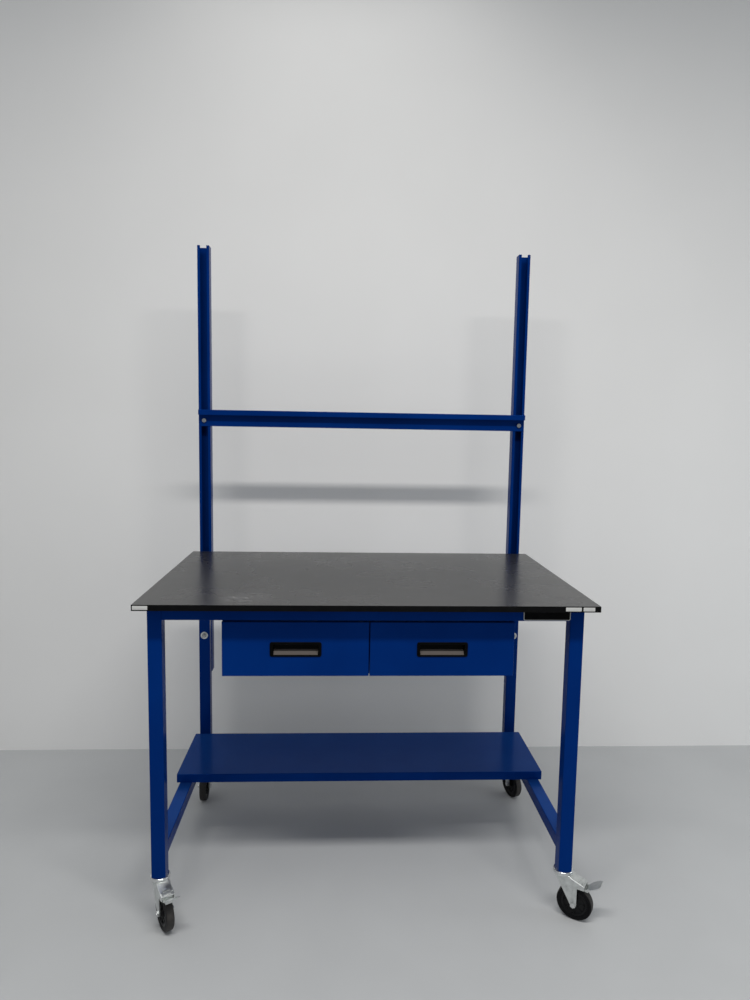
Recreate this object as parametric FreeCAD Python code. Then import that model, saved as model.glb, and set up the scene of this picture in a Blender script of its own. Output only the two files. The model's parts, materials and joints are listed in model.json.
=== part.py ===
import FreeCAD, Part
import math
import os

# A mobile lab bench: a dark worktop on a square-tube frame with four braked swivel casters,
# two hanging drawers on telescopic runners, a steel lower shelf, and two strut uprights
# that carry a folded ledge rail above the worktop.
#
# Millimetres. +X is the user's right, +Y goes from the user to the back, +Z is up.
# The origin is on the floor, midway between the four caster swivel axes.

V = FreeCAD.Vector
X_AXIS = V(1, 0, 0)
Y_AXIS = V(0, 1, 0)
Z_AXIS = V(0, 0, 1)

# --- Worktop ---
TOP_WIDTH = 1219.2
TOP_DEPTH = 762.0
TOP_THICKNESS = 16.0
WORK_HEIGHT = 914.4
TOP_EDGE_ROUND = 0.8
TOP_FRONT_OVERHANG = 50.8
TOP_SIDE_OVERHANG = 25.4

# --- Square-tube frame ---
TUBE = 38.1
TUBE_WALL = 2.0
TUBE_CORNER = 2.5
STRETCHER_RAISE = 50.8
INSERT_HEIGHT = 28.0
INSERT_CLEARANCE = 0.1

# --- Lower shelf ---
SHELF_SIDE_OVERHANG = 10.0
SHELF_DEPTH = 300.0
SHELF_FLANGE = 27.4
SHELF_SHEET = 1.5
SHELF_RETURN = 20.0
SHELF_BACK_GAP = 25.4
SHELF_CORNER = 3.0
SHELF_BEND = 2.0
SHELF_BOLT_INSET = 11.0

# --- Strut uprights ---
STRUT = 41.3
STRUT_WALL = 2.5
STRUT_SLOT = 22.2
STRUT_LIP_DEPTH = 7.2
STRUT_CORNER = 3.0
STRUT_LIP_BEND = 1.6
UPRIGHT_LENGTH = 1524.0
UPRIGHT_DROP = 432.4
LEG_BOLT_DROP = 82.2
LEG_BOLT_SPACING = 203.2
STRUT_NUT_LENGTH = 34.0
STRUT_NUT_THICKNESS = 9.5
STRUT_NUT_GAP = 0.3

# --- Ledge rail between the uprights ---
RAIL_END_INSET = 2.8
RAIL_HEIGHT = 57.6
RAIL_RAISE = 452.0
RAIL_SHEET = 1.9
LEDGE_DEPTH = 27.0
LEDGE_LIP = 18.0
LEDGE_CORNER = 6.0
LEDGE_BEND = 1.4
RAIL_BOLT_RAISE = 20.0

# --- Fasteners ---
BOLT_DIAMETER = 9.5
BOLT_HEAD_FLATS = 14.3
BOLT_HEAD_HEIGHT = 6.4
WASHER_DIAMETER = 26.5
WASHER_THICKNESS = 1.8
SHELF_BOLT_DIAMETER = 6.4
SHELF_BOLT_FLATS = 11.1
SHELF_BOLT_HEAD = 4.4
SHELF_NUT_HEIGHT = 5.6
SCREW_DIAMETER = 4.8
SCREW_HEAD = 9.4
SCREW_HEAD_HEIGHT = 2.6
SCREW_BITE = 11.0
HOLE_CLEARANCE = 0.4
THREAD_CLEARANCE = 0.05
TOP_SCREW_INSET = 150.0

# --- Drawers ---
DRAWER_FRONT_WIDTH = 390.5
DRAWER_FRONT_HEIGHT = 148.0
DRAWER_FRONT_DEPTH = 19.0
DRAWER_FRONT_SHEET = 1.5
DRAWER_FRONT_ROUND = 1.5
DRAWER_PAIR_GAP = 3.0
DRAWER_PAIR_OFFSET = 2.5
DRAWER_TOP_GAP = 4.3
BOX_SHEET = 1.2
BOX_HEIGHT = 118.0
BOX_DEPTH = 457.2
BOX_RAISE = 9.0
HOUSING_SHEET = 2.6
HOUSING_DROP = 7.0
HOUSING_FRONT_GAP = 1.0
HOUSING_SCREW_INSET = 60.0
BOX_SCREW_INSET = 40.0
BOX_SCREW_LENGTH = 4.0

# --- Telescopic runners ---
RUNNER_THICKNESS = 12.7
RUNNER_HEIGHT = 45.7
RUNNER_LENGTH = 450.0
RUNNER_SHEET = 1.2
RUNNER_RAISE = 62.0
RUNNER_BALL = 3.2
RUNNER_BALL_GAP = 0.15
RUNNER_WEB_GAP = 0.8
RUNNER_CAGE_LENGTH = 60.0
RUNNER_SETBACK = 1.0

# --- Recessed drawer pulls ---
PULL_WIDTH = 138.0
PULL_HEIGHT = 40.3
PULL_PROUD = 2.0
PULL_FRAME_SIDE = 8.5
PULL_FRAME_LOW = 5.5
PULL_FRAME_HIGH = 7.0
PULL_DEPTH = 15.0
PULL_WALL = 1.6
PULL_RAMP_RISE = 14.0
PULL_CORNER = 4.0
PULL_RIM = 4.0
PULL_EDGE_ROUND = 1.2
PULL_RAISE = 53.5

# --- Name plate (blank) ---
PLATE_WIDTH = 128.6
PLATE_HEIGHT = 34.0
PLATE_THICKNESS = 1.0
PLATE_CORNER = 5.0
PLATE_RIGHT_GAP = 0.5

# --- Casters ---
CASTER_HEIGHT = 138.0
WHEEL_RADIUS = 50.0
WHEEL_WIDTH = 23.0
TREAD_ROUND = 3.5
TYRE_THICKNESS = 13.0
TYRE_GROOVE = 1.0
HUB_RECESS = 4.0
HUB_LIP = 5.0
HUB_BOSS_RADIUS = 12.0
HUB_SIDE_GAP = 0.8
TRAIL = 37.0
AXLE_RADIUS = 5.0
RUNNING_CLEARANCE = 0.05
FORK_SHEET = 3.0
FORK_GAP = 4.5
FORK_CROWN_TOP = 126.0
FORK_CROWN_RADIUS = 26.0
FORK_BACK = 14.0
FORK_CROWN_LIP = 8.0
FORK_FLAT_END = 22.0
FORK_BEND_U = 34.0
FORK_BEND_TOP = 122.5
FORK_LUG_RADIUS = 8.5
FORK_LUG_START = 213.0
FORK_LUG_STEPS = 8
FORK_ROOF_END = 66.0
FORK_ROOF_END_TOP = 112.0
FORK_CHEEK_BOTTOM = 100.0
FORK_EDGE_ROUND = 2.5
FORK_RIB_PLACES = (48.0, 59.0)
FORK_RIB_LENGTH = 7.0
FORK_RIB_WIDTH = 19.0
FORK_RIB_HEIGHT = 2.4
FORK_RIVET_U = 55.0
FORK_RIVET_V = 14.5
FORK_RIVET_RADIUS = 2.2
FORK_RIVET_HEIGHT = 1.4
RACE_RADIUS = 27.5
RACE_GAP = 0.5
RACE_ROUND = 3.0
KINGPIN_RADIUS = 7.0
KINGPIN_HEAD_RADIUS = 11.0
KINGPIN_HEAD_HEIGHT = 4.0
STEM_RADIUS = 6.3
AXLE_HEAD_FLATS = 14.0
AXLE_HEAD_HEIGHT = 5.0
PEDAL_PIVOT_U = 56.0
PEDAL_PIVOT_Z = 106.0
PEDAL_PIN_RADIUS = 2.5
PEDAL_SHEET = 3.0
PEDAL_ARM_GAP = 1.0
PEDAL_ARM_FLAT = 68.0
PEDAL_PAD_WIDTH = 42.0
PEDAL_PAD_START = 76.0
PEDAL_PAD_RISE = 5.0
PEDAL_TIP = 108.0
PEDAL_TIP_RISE = 24.0
PEDAL_PAD_ROUND = 10.0
SHOE_U = 70.0
SHOE_LENGTH = 10.0
SHOE_WIDTH = 20.0
SHOE_GAP = 2.6

# Direction in which each wheel trails, in degrees from +X.
CASTER_TURN = {
    "front_left": -58.0,
    "front_right": -34.0,
    "rear_left": -90.0,
    "rear_right": -70.0,
}

# --- Sizes that follow from those above ---
FRAME_WIDTH = TOP_WIDTH - 2 * TOP_SIDE_OVERHANG
FRAME_DEPTH = TOP_DEPTH - TOP_FRONT_OVERHANG
UNDERSIDE = WORK_HEIGHT - TOP_THICKNESS
LEG_BOTTOM = CASTER_HEIGHT
LEG_X = (FRAME_WIDTH - TUBE) / 2
LEG_Y = (FRAME_DEPTH - TUBE) / 2
FRAME_FRONT = -FRAME_DEPTH / 2
FRAME_BACK = FRAME_DEPTH / 2
TOP_FRONT = FRAME_FRONT - TOP_FRONT_OVERHANG
APRON_BOTTOM = UNDERSIDE - TUBE
STRETCHER_BOTTOM = LEG_BOTTOM + STRETCHER_RAISE
STRETCHER_TOP = STRETCHER_BOTTOM + TUBE
SHELF_WIDTH = FRAME_WIDTH + 2 * SHELF_SIDE_OVERHANG
SHELF_BACK = FRAME_BACK - TUBE - SHELF_BACK_GAP
SHELF_FRONT = SHELF_BACK - SHELF_DEPTH
SHELF_TOP = STRETCHER_TOP + SHELF_FLANGE
UPRIGHT_FRONT = FRAME_BACK
UPRIGHT_BOTTOM = UNDERSIDE - UPRIGHT_DROP
RAIL_LENGTH = 2 * LEG_X + STRUT - 2 * RAIL_END_INSET
RAIL_BOTTOM = WORK_HEIGHT + RAIL_RAISE
RAIL_TOP = RAIL_BOTTOM + RAIL_HEIGHT
RAIL_BOLT_Z = RAIL_BOTTOM + RAIL_BOLT_RAISE
LEG_BOLT_UPPER = UNDERSIDE - LEG_BOLT_DROP
LEG_BOLTS_Z = (LEG_BOLT_UPPER - LEG_BOLT_SPACING, LEG_BOLT_UPPER)
DRAWER_TOP = APRON_BOTTOM - DRAWER_TOP_GAP
DRAWER_BOTTOM = DRAWER_TOP - DRAWER_FRONT_HEIGHT
DRAWER_PITCH = DRAWER_FRONT_WIDTH + DRAWER_PAIR_GAP
HOUSING_WIDTH = DRAWER_PITCH
HOUSING_INSIDE = HOUSING_WIDTH - 2 * HOUSING_SHEET
HOUSING_FRONT = FRAME_FRONT + TUBE + HOUSING_FRONT_GAP
HOUSING_BOTTOM = DRAWER_BOTTOM - HOUSING_DROP
BOX_WIDTH = HOUSING_INSIDE - 2 * RUNNER_THICKNESS
BOX_FRONT = FRAME_FRONT + DRAWER_FRONT_DEPTH
BOX_BACK = BOX_FRONT + BOX_DEPTH
BOX_BOTTOM = DRAWER_BOTTOM + BOX_RAISE
RUNNER_Z = DRAWER_BOTTOM + RUNNER_RAISE
HALF = 0.5
THIN = 0.01
BORE = AXLE_RADIUS + RUNNING_CLEARANCE
FORK_INSIDE = WHEEL_WIDTH + 2 * FORK_GAP
FORK_OUTSIDE = FORK_INSIDE + 2 * FORK_SHEET
FORK_HALF_WAY = FORK_FLAT_END / 2 - FORK_BACK
FORK_TOP = FORK_CROWN_TOP + FORK_SHEET

SIDES = {"left": -1, "right": 1}
ENDS = {"front": -1, "rear": 1}
NODES = {}


def box(x0, x1, y0, y1, z0, z1):
    """Block between two corners."""
    return Part.makeBox(x1 - x0, y1 - y0, z1 - z0, V(x0, y0, z0))


def rod(radius, start, direction, length):
    return Part.makeCylinder(radius, length, start, direction)


def edges_along(shape, axis):
    """Straight edges of a block that run along an axis."""
    found = []
    for edge in shape.Edges:
        span = edge.Vertexes[-1].Point - edge.Vertexes[0].Point
        if span.Length > 0 and abs(span.normalize().dot(axis)) > 1 - 1e-6:
            found.append(edge)
    return found


def edges_at_height(shape, z):
    """Edges that lie all along one height."""
    return [e for e in shape.Edges if e.BoundBox.ZMin > z - THIN and e.BoundBox.ZMax < z + THIN]


def rounded_box(x0, x1, y0, y1, z0, z1, axis, radius):
    """Block whose four edges along one axis are rounded."""
    block = box(x0, x1, y0, y1, z0, z1)
    return block.makeFillet(radius, edges_along(block, axis))


def tube(x0, x1, y0, y1, z0, z1, axis):
    """Square tube with open ends, between two corners of its outside."""
    outer = rounded_box(x0, x1, y0, y1, z0, z1, axis, TUBE_CORNER)
    inset = V(TUBE_WALL, TUBE_WALL, TUBE_WALL) - axis * TUBE_WALL
    core = box(x0 + inset.x, x1 - inset.x, y0 + inset.y, y1 - inset.y, z0 + inset.z, z1 - inset.z)
    return outer.cut(core)


def prism(points, direction):
    """Solid made by pushing a closed outline along a vector."""
    wire = Part.makePolygon(points + [points[0]])
    return Part.Face(wire).extrude(direction)


def hexagon(flats, start, direction, length):
    """Hexagonal bar for bolt heads and nuts."""
    side = direction.cross(X_AXIS)
    if side.Length < HALF:
        side = direction.cross(Y_AXIS)
    side.normalize()
    other = direction.cross(side)
    reach = flats / math.sqrt(3)
    points = []
    for step in range(6):
        angle = math.radians(60 * step)
        points.append(start + side * (reach * math.cos(angle)) + other * (reach * math.sin(angle)))
    return prism(points, direction * length)


def hex_bolt(diameter, flats, head, seat, direction, length):
    """Bolt whose head sits on seat and whose shank runs along direction."""
    shank = rod(diameter / 2, seat, direction, length)
    return shank.fuse(hexagon(flats, seat, direction * -1, head))


def ring(outer, inner, start, direction, length):
    return rod(outer, start, direction, length).cut(rod(inner, start, direction, length))


def pan_screw(seat, direction, length):
    """Pan-head screw whose head sits on seat."""
    shank = rod(SCREW_DIAMETER / 2, seat, direction, length)
    head = rod(SCREW_HEAD / 2, seat, direction * -1, SCREW_HEAD_HEIGHT)
    return shank.fuse(head)


def screw_hole(seat, direction, length):
    """Pilot hole for a pan-head screw."""
    return rod(SCREW_DIAMETER / 2 + THREAD_CLEARANCE, seat, direction, length)


def hold(name, *solids):
    """Keep the solids that make one node."""
    flat = []
    for solid in solids:
        flat.extend(solid.Solids)
    NODES[name] = Part.makeCompound(flat) if len(flat) > 1 else flat[0]


def drawer_centre(side):
    return DRAWER_PAIR_OFFSET + side * DRAWER_PITCH / 2


def apron_screw_places():
    """Where screws go up through the apron rails into the worktop."""
    places = []
    for end in ENDS.values():
        for side in SIDES.values():
            places.append((side * TOP_SCREW_INSET, end * LEG_Y))
            places.append((side * LEG_X, end * (LEG_Y - TOP_SCREW_INSET)))
    return places


def housing_screw_places():
    """Where screws hang the drawer housings from the worktop."""
    places = []
    for side in SIDES.values():
        for across in (-1, 1):
            x = drawer_centre(side) + across * (HOUSING_WIDTH / 2 - HOUSING_SCREW_INSET)
            for y in (HOUSING_FRONT + HOUSING_SCREW_INSET, BOX_BACK - HOUSING_SCREW_INSET):
                places.append((x, y))
    return places


def shelf_bolt_places():
    """Where the shelf's front and back returns are bolted to the stretchers."""
    places = []
    for side in SIDES.values():
        for y in (SHELF_FRONT + SHELF_BOLT_INSET, SHELF_BACK - SHELF_BOLT_INSET):
            places.append((side * LEG_X, y))
    return places


def make_worktop():
    left = -TOP_WIDTH / 2
    right = TOP_WIDTH / 2
    top = box(left, right, TOP_FRONT, TOP_FRONT + TOP_DEPTH, UNDERSIDE, WORK_HEIGHT)
    top = top.makeFillet(TOP_EDGE_ROUND, top.Edges)
    for x, y in apron_screw_places() + housing_screw_places():
        top = top.cut(screw_hole(V(x, y, UNDERSIDE), Z_AXIS, SCREW_BITE + HALF))
    hold("tabletop", top)


def make_top_screws():
    screws = []
    for x, y in apron_screw_places():
        screws.append(pan_screw(V(x, y, APRON_BOTTOM), Z_AXIS, TUBE + SCREW_BITE))
    for x, y in housing_screw_places():
        seat = V(x, y, UNDERSIDE - HOUSING_SHEET)
        screws.append(pan_screw(seat, Z_AXIS, HOUSING_SHEET + SCREW_BITE))
    hold("tabletop_screws", *screws)


def make_legs():
    for end_name, end in ENDS.items():
        for side_name, side in SIDES.items():
            x = side * LEG_X
            y = end * LEG_Y
            leg = tube(x - TUBE / 2, x + TUBE / 2, y - TUBE / 2, y + TUBE / 2,
                       LEG_BOTTOM, UNDERSIDE, Z_AXIS)
            if end_name == "rear":
                leg = leg.cut(leg_bolt_holes(x, y))
            hold(f"leg_{end_name}_{side_name}", leg)


def leg_bolt_holes(x, y):
    holes = []
    for z in LEG_BOLTS_Z:
        start = V(x, y - TUBE / 2, z)
        holes.append(rod((BOLT_DIAMETER + HOLE_CLEARANCE) / 2, start, Y_AXIS, TUBE))
    return Part.makeCompound(holes)


def make_leg_inserts():
    """Threaded blocks welded into the leg ends for the caster stems."""
    inserts = []
    reach = TUBE / 2 - TUBE_WALL - INSERT_CLEARANCE
    for end in ENDS.values():
        for side in SIDES.values():
            x = side * LEG_X
            y = end * LEG_Y
            block = box(x - reach, x + reach, y - reach, y + reach,
                        LEG_BOTTOM, LEG_BOTTOM + INSERT_HEIGHT)
            hole = rod(STEM_RADIUS + THREAD_CLEARANCE, V(x, y, LEG_BOTTOM), Z_AXIS, INSERT_HEIGHT)
            inserts.append(block.cut(hole))
    hold("leg_inserts", *inserts)


def make_aprons():
    """Rails that join the legs under the worktop."""
    reach_x = LEG_X - TUBE / 2
    reach_y = LEG_Y - TUBE / 2
    holes = []
    for x, y in apron_screw_places():
        holes.append(screw_hole(V(x, y, APRON_BOTTOM), Z_AXIS, TUBE))
    cutter = Part.makeCompound(holes)
    for name, end in ENDS.items():
        y = end * LEG_Y
        rail = tube(-reach_x, reach_x, y - TUBE / 2, y + TUBE / 2, APRON_BOTTOM, UNDERSIDE, X_AXIS)
        hold(f"apron_{name}", rail.cut(cutter))
    for name, side in SIDES.items():
        x = side * LEG_X
        rail = tube(x - TUBE / 2, x + TUBE / 2, -reach_y, reach_y, APRON_BOTTOM, UNDERSIDE, Y_AXIS)
        hold(f"apron_{name}", rail.cut(cutter))


def make_stretchers():
    """Low rails that join the front and rear legs and carry the shelf."""
    reach_y = LEG_Y - TUBE / 2
    radius = (SHELF_BOLT_DIAMETER + HOLE_CLEARANCE) / 2
    holes = []
    for x, y in shelf_bolt_places():
        holes.append(rod(radius, V(x, y, STRETCHER_BOTTOM), Z_AXIS, TUBE))
    cutter = Part.makeCompound(holes)
    for name, side in SIDES.items():
        x = side * LEG_X
        rail = tube(x - TUBE / 2, x + TUBE / 2, -reach_y, reach_y,
                    STRETCHER_BOTTOM, STRETCHER_TOP, Y_AXIS)
        hold(f"stretcher_{name}", rail.cut(cutter))


def make_shelf():
    """Steel shelf: a pan turned face down, with its flange ends folded inwards."""
    half = SHELF_WIDTH / 2
    outer = rounded_box(-half, half, SHELF_FRONT, SHELF_BACK, STRETCHER_TOP, SHELF_TOP,
                        Z_AXIS, SHELF_CORNER)
    outer = outer.makeFillet(SHELF_BEND, edges_at_height(outer, SHELF_TOP))
    hollow = box(-half + SHELF_SHEET, half - SHELF_SHEET,
                 SHELF_FRONT + SHELF_SHEET, SHELF_BACK - SHELF_SHEET,
                 STRETCHER_TOP + SHELF_SHEET, SHELF_TOP - SHELF_SHEET)
    mouth = box(-half + SHELF_RETURN, half - SHELF_RETURN,
                SHELF_FRONT + SHELF_RETURN, SHELF_BACK - SHELF_RETURN,
                STRETCHER_TOP, STRETCHER_TOP + SHELF_SHEET)
    shelf = outer.cut(hollow).cut(mouth)
    radius = (SHELF_BOLT_DIAMETER + HOLE_CLEARANCE) / 2
    for x, y in shelf_bolt_places():
        shelf = shelf.cut(rod(radius, V(x, y, STRETCHER_TOP), Z_AXIS, SHELF_SHEET))
    hold("lower_shelf", shelf)


def make_shelf_bolts():
    """Bolts up through the stretchers, each with a nut inside the shelf."""
    solids = []
    length = TUBE + SHELF_SHEET + SHELF_NUT_HEIGHT
    for x, y in shelf_bolt_places():
        seat = V(x, y, STRETCHER_BOTTOM)
        bolt = hex_bolt(SHELF_BOLT_DIAMETER, SHELF_BOLT_FLATS, SHELF_BOLT_HEAD, seat, Z_AXIS, length)
        start = V(x, y, STRETCHER_TOP + SHELF_SHEET)
        nut = hexagon(SHELF_BOLT_FLATS, start, Z_AXIS, SHELF_NUT_HEIGHT)
        bore = rod(SHELF_BOLT_DIAMETER / 2 + THREAD_CLEARANCE, start, Z_AXIS, SHELF_NUT_HEIGHT)
        solids.extend([bolt, nut.cut(bore)])
    hold("shelf_bolts", *solids)


def make_uprights():
    """Strut channels with the slot towards the user."""
    for name, side in SIDES.items():
        x = side * LEG_X
        half = STRUT / 2
        back = UPRIGHT_FRONT + STRUT
        top = UPRIGHT_BOTTOM + UPRIGHT_LENGTH
        outer = rounded_box(x - half, x + half, UPRIGHT_FRONT, back, UPRIGHT_BOTTOM, top,
                            Z_AXIS, STRUT_CORNER)
        hollow = box(x - half + STRUT_WALL, x + half - STRUT_WALL,
                     UPRIGHT_FRONT + STRUT_WALL, back - STRUT_WALL, UPRIGHT_BOTTOM, top)
        slot = box(x - STRUT_SLOT / 2, x + STRUT_SLOT / 2,
                   UPRIGHT_FRONT, UPRIGHT_FRONT + STRUT_WALL, UPRIGHT_BOTTOM, top)
        strut = outer.cut(hollow).cut(slot)
        for lip in SIDES.values():
            inner = x + lip * STRUT_SLOT / 2
            outer_x = inner + lip * STRUT_WALL
            strut = strut.fuse(box(min(inner, outer_x), max(inner, outer_x), UPRIGHT_FRONT,
                                   UPRIGHT_FRONT + STRUT_LIP_DEPTH, UPRIGHT_BOTTOM, top))
        strut = strut.removeSplitter()
        folds = [e for e in edges_along(strut, Z_AXIS) if is_slot_edge(e, x)]
        hold(f"upright_{name}", strut.makeFillet(STRUT_LIP_BEND, folds))


def is_slot_edge(edge, x):
    """Whether a long edge is one where a lip turns in from the front face."""
    centre = edge.CenterOfMass
    return abs(centre.y - UPRIGHT_FRONT) < THIN and abs(abs(centre.x - x) - STRUT_SLOT / 2) < THIN


def make_upright_bolts():
    """Bolts through the rear legs into the uprights, each with a washer."""
    solids = []
    length = WASHER_THICKNESS + TUBE + STRUT_LIP_DEPTH + STRUT_NUT_THICKNESS
    radius = BOLT_DIAMETER / 2
    for side in SIDES.values():
        for z in LEG_BOLTS_Z:
            face = V(side * LEG_X, UPRIGHT_FRONT - TUBE, z)
            seat = face - Y_AXIS * WASHER_THICKNESS
            solids.append(ring(WASHER_DIAMETER / 2, radius + THREAD_CLEARANCE, seat, Y_AXIS,
                               WASHER_THICKNESS))
            solids.append(hex_bolt(BOLT_DIAMETER, BOLT_HEAD_FLATS, BOLT_HEAD_HEIGHT,
                                   seat, Y_AXIS, length))
    hold("upright_bolts", *solids)


def make_strut_nuts():
    """Channel nuts behind the strut lips, one for each bolt."""
    nuts = []
    width = STRUT - 2 * STRUT_WALL - 2 * STRUT_NUT_GAP
    for side in SIDES.values():
        x = side * LEG_X
        for z in LEG_BOLTS_Z + (RAIL_BOLT_Z,):
            front = UPRIGHT_FRONT + STRUT_LIP_DEPTH
            block = box(x - width / 2, x + width / 2, front, front + STRUT_NUT_THICKNESS,
                        z - STRUT_NUT_LENGTH / 2, z + STRUT_NUT_LENGTH / 2)
            hole = rod(BOLT_DIAMETER / 2 + THREAD_CLEARANCE, V(x, front, z), Y_AXIS,
                       STRUT_NUT_THICKNESS)
            nuts.append(block.cut(hole))
    hold("strut_nuts", *nuts)


def make_ledge_rail():
    """Folded rail: a back plate, a ledge that stands forward, and a turned-down lip."""
    half = RAIL_LENGTH / 2
    back = UPRIGHT_FRONT
    front = back - LEDGE_DEPTH
    lip_bottom = RAIL_TOP - LEDGE_LIP
    plate = box(-half, half, back - RAIL_SHEET, back, RAIL_BOTTOM, RAIL_TOP)
    hood = box(-half, half, front, back, lip_bottom, RAIL_TOP)
    corners = [e for e in edges_along(hood, Z_AXIS) if e.CenterOfMass.y < back - HALF]
    hood = hood.makeFillet(LEDGE_CORNER, corners)
    folds = [e for e in edges_at_height(hood, RAIL_TOP) if e.BoundBox.YMin < back - HALF]
    hood = hood.makeFillet(LEDGE_BEND, folds)
    inner = box(-half + RAIL_SHEET, half - RAIL_SHEET, front + RAIL_SHEET, back,
                lip_bottom, RAIL_TOP - RAIL_SHEET)
    corners = [e for e in edges_along(inner, Z_AXIS) if e.CenterOfMass.y < back - HALF]
    inner = inner.makeFillet(LEDGE_CORNER - RAIL_SHEET, corners)
    rail = hood.cut(inner).fuse(plate).removeSplitter()
    for side in SIDES.values():
        start = V(side * LEG_X, back - RAIL_SHEET, RAIL_BOLT_Z)
        rail = rail.cut(rod((BOLT_DIAMETER + HOLE_CLEARANCE) / 2, start, Y_AXIS, RAIL_SHEET))
    hold("ledge_rail", rail)


def make_ledge_bolts():
    bolts = []
    length = RAIL_SHEET + STRUT_LIP_DEPTH + STRUT_NUT_THICKNESS
    for side in SIDES.values():
        seat = V(side * LEG_X, UPRIGHT_FRONT - RAIL_SHEET, RAIL_BOLT_Z)
        bolts.append(hex_bolt(BOLT_DIAMETER, BOLT_HEAD_FLATS, BOLT_HEAD_HEIGHT,
                              seat, Y_AXIS, length))
    hold("ledge_bolts", *bolts)


def make_name_plate():
    """Blank plate on the front apron, beside the right leg."""
    right = LEG_X - TUBE / 2 - PLATE_RIGHT_GAP
    middle = (APRON_BOTTOM + UNDERSIDE) / 2
    plate = rounded_box(right - PLATE_WIDTH, right, FRAME_FRONT - PLATE_THICKNESS, FRAME_FRONT,
                        middle - PLATE_HEIGHT / 2, middle + PLATE_HEIGHT / 2,
                        Y_AXIS, PLATE_CORNER)
    hold("name_plate", plate)


def make_housing(name, side):
    """Sheet-steel hanger, an upside-down U, that carries the runners and meets the other one."""
    x = drawer_centre(side)
    half = HOUSING_WIDTH / 2
    inside = HOUSING_INSIDE / 2
    housing = box(x - half, x + half, HOUSING_FRONT, BOX_BACK, HOUSING_BOTTOM, UNDERSIDE)
    housing = housing.cut(box(x - inside, x + inside, HOUSING_FRONT, BOX_BACK,
                              HOUSING_BOTTOM, UNDERSIDE - HOUSING_SHEET))
    for hole_x, hole_y in housing_screw_places():
        seat = V(hole_x, hole_y, UNDERSIDE - HOUSING_SHEET)
        housing = housing.cut(screw_hole(seat, Z_AXIS, HOUSING_SHEET))
    hold(f"drawer_housing_{name}", housing)


def channel(web_x, mouth_x, half_height, z, y0, y1):
    """C-shaped runner member with its web at web_x and its flanges reaching to mouth_x."""
    turn = 1 if mouth_x > web_x else -1
    low = min(web_x, mouth_x)
    high = max(web_x, mouth_x)
    body = box(low, high, y0, y1, z - half_height, z + half_height)
    inner = web_x + turn * RUNNER_SHEET
    hollow = box(min(inner, mouth_x), max(inner, mouth_x), y0, y1,
                 z - half_height + RUNNER_SHEET, z + half_height - RUNNER_SHEET)
    return body.cut(hollow)


def ball_cages(x0, x1, inner_half, outer_half, y_start, y_end, z):
    """Ball retainers above and below a runner member, filling the ball track."""
    cages = []
    low = inner_half + RUNNER_BALL_GAP
    high = outer_half - RUNNER_BALL_GAP
    for y0 in (y_start, y_end - RUNNER_CAGE_LENGTH):
        for up in (-1, 1):
            z0 = min(z + up * low, z + up * high)
            z1 = max(z + up * low, z + up * high)
            cages.append(box(x0, x1, y0, y0 + RUNNER_CAGE_LENGTH, z0, z1))
    return cages


def make_runners(name, side):
    """Outer, middle and inner members of the pair of runners of one drawer."""
    outer = []
    middle = []
    inner = []
    y0 = HOUSING_FRONT + RUNNER_SETBACK
    y1 = y0 + RUNNER_LENGTH
    outer_half = RUNNER_HEIGHT / 2
    middle_half = outer_half - RUNNER_SHEET - RUNNER_BALL
    inner_half = middle_half - RUNNER_SHEET - RUNNER_BALL
    for hand in (-1, 1):
        wall = drawer_centre(side) + hand * HOUSING_INSIDE / 2
        drawer_wall = wall - hand * RUNNER_THICKNESS
        middle_web = wall - hand * (RUNNER_SHEET + RUNNER_WEB_GAP)
        mouth = drawer_wall + hand * (RUNNER_SHEET + RUNNER_WEB_GAP)
        inner_mouth = middle_web - hand * (RUNNER_SHEET + RUNNER_WEB_GAP)
        outer.append(channel(wall, mouth, outer_half, RUNNER_Z, y0, y1))
        middle.append(channel(middle_web, mouth, middle_half, RUNNER_Z, y0, y1))
        inner.append(channel(drawer_wall, inner_mouth, inner_half, RUNNER_Z, y0, y1))
        low = min(inner_mouth, mouth)
        high = max(inner_mouth, mouth)
        middle.extend(ball_cages(low, high, middle_half - RUNNER_BALL_GAP, outer_half - RUNNER_SHEET,
                                 y0, y1, RUNNER_Z))
        middle.extend(ball_cages(low, high, inner_half, middle_half - RUNNER_SHEET + RUNNER_BALL_GAP,
                                 y0, y1, RUNNER_Z))
    hold(f"drawer_runner_outer_{name}", *outer)
    hold(f"drawer_runner_middle_{name}", *middle)
    hold(f"drawer_runner_inner_{name}", *inner)


def box_screw_places(side):
    """Where the drawer front is screwed to the drawer box."""
    places = []
    for across in (-1, 1):
        x = drawer_centre(side) + across * (BOX_WIDTH / 2 - BOX_SCREW_INSET)
        for z in (BOX_BOTTOM + BOX_SCREW_INSET / 2, BOX_BOTTOM + BOX_HEIGHT - BOX_SCREW_INSET / 2):
            places.append(V(x, BOX_FRONT + BOX_SHEET, z))
    return places


def make_drawer_box(name, side):
    """Open-topped drawer box of spot-welded steel panels: base, two sides, front and back."""
    x = drawer_centre(side)
    half = BOX_WIDTH / 2
    inner = half - BOX_SHEET
    top = BOX_BOTTOM + BOX_HEIGHT
    front_inside = BOX_FRONT + BOX_SHEET
    back_inside = BOX_BACK - BOX_SHEET
    front = box(x - half, x + half, BOX_FRONT, front_inside, BOX_BOTTOM, top)
    for place in box_screw_places(side):
        front = front.cut(screw_hole(place, Y_AXIS * -1, BOX_SHEET))
    panels = [
        front,
        box(x - half, x + half, back_inside, BOX_BACK, BOX_BOTTOM, top),
        box(x - half, x - inner, front_inside, back_inside, BOX_BOTTOM, top),
        box(x + inner, x + half, front_inside, back_inside, BOX_BOTTOM, top),
        box(x - inner, x + inner, front_inside, back_inside, BOX_BOTTOM, BOX_BOTTOM + BOX_SHEET),
    ]
    hold(f"drawer_box_{name}", *panels)


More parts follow.
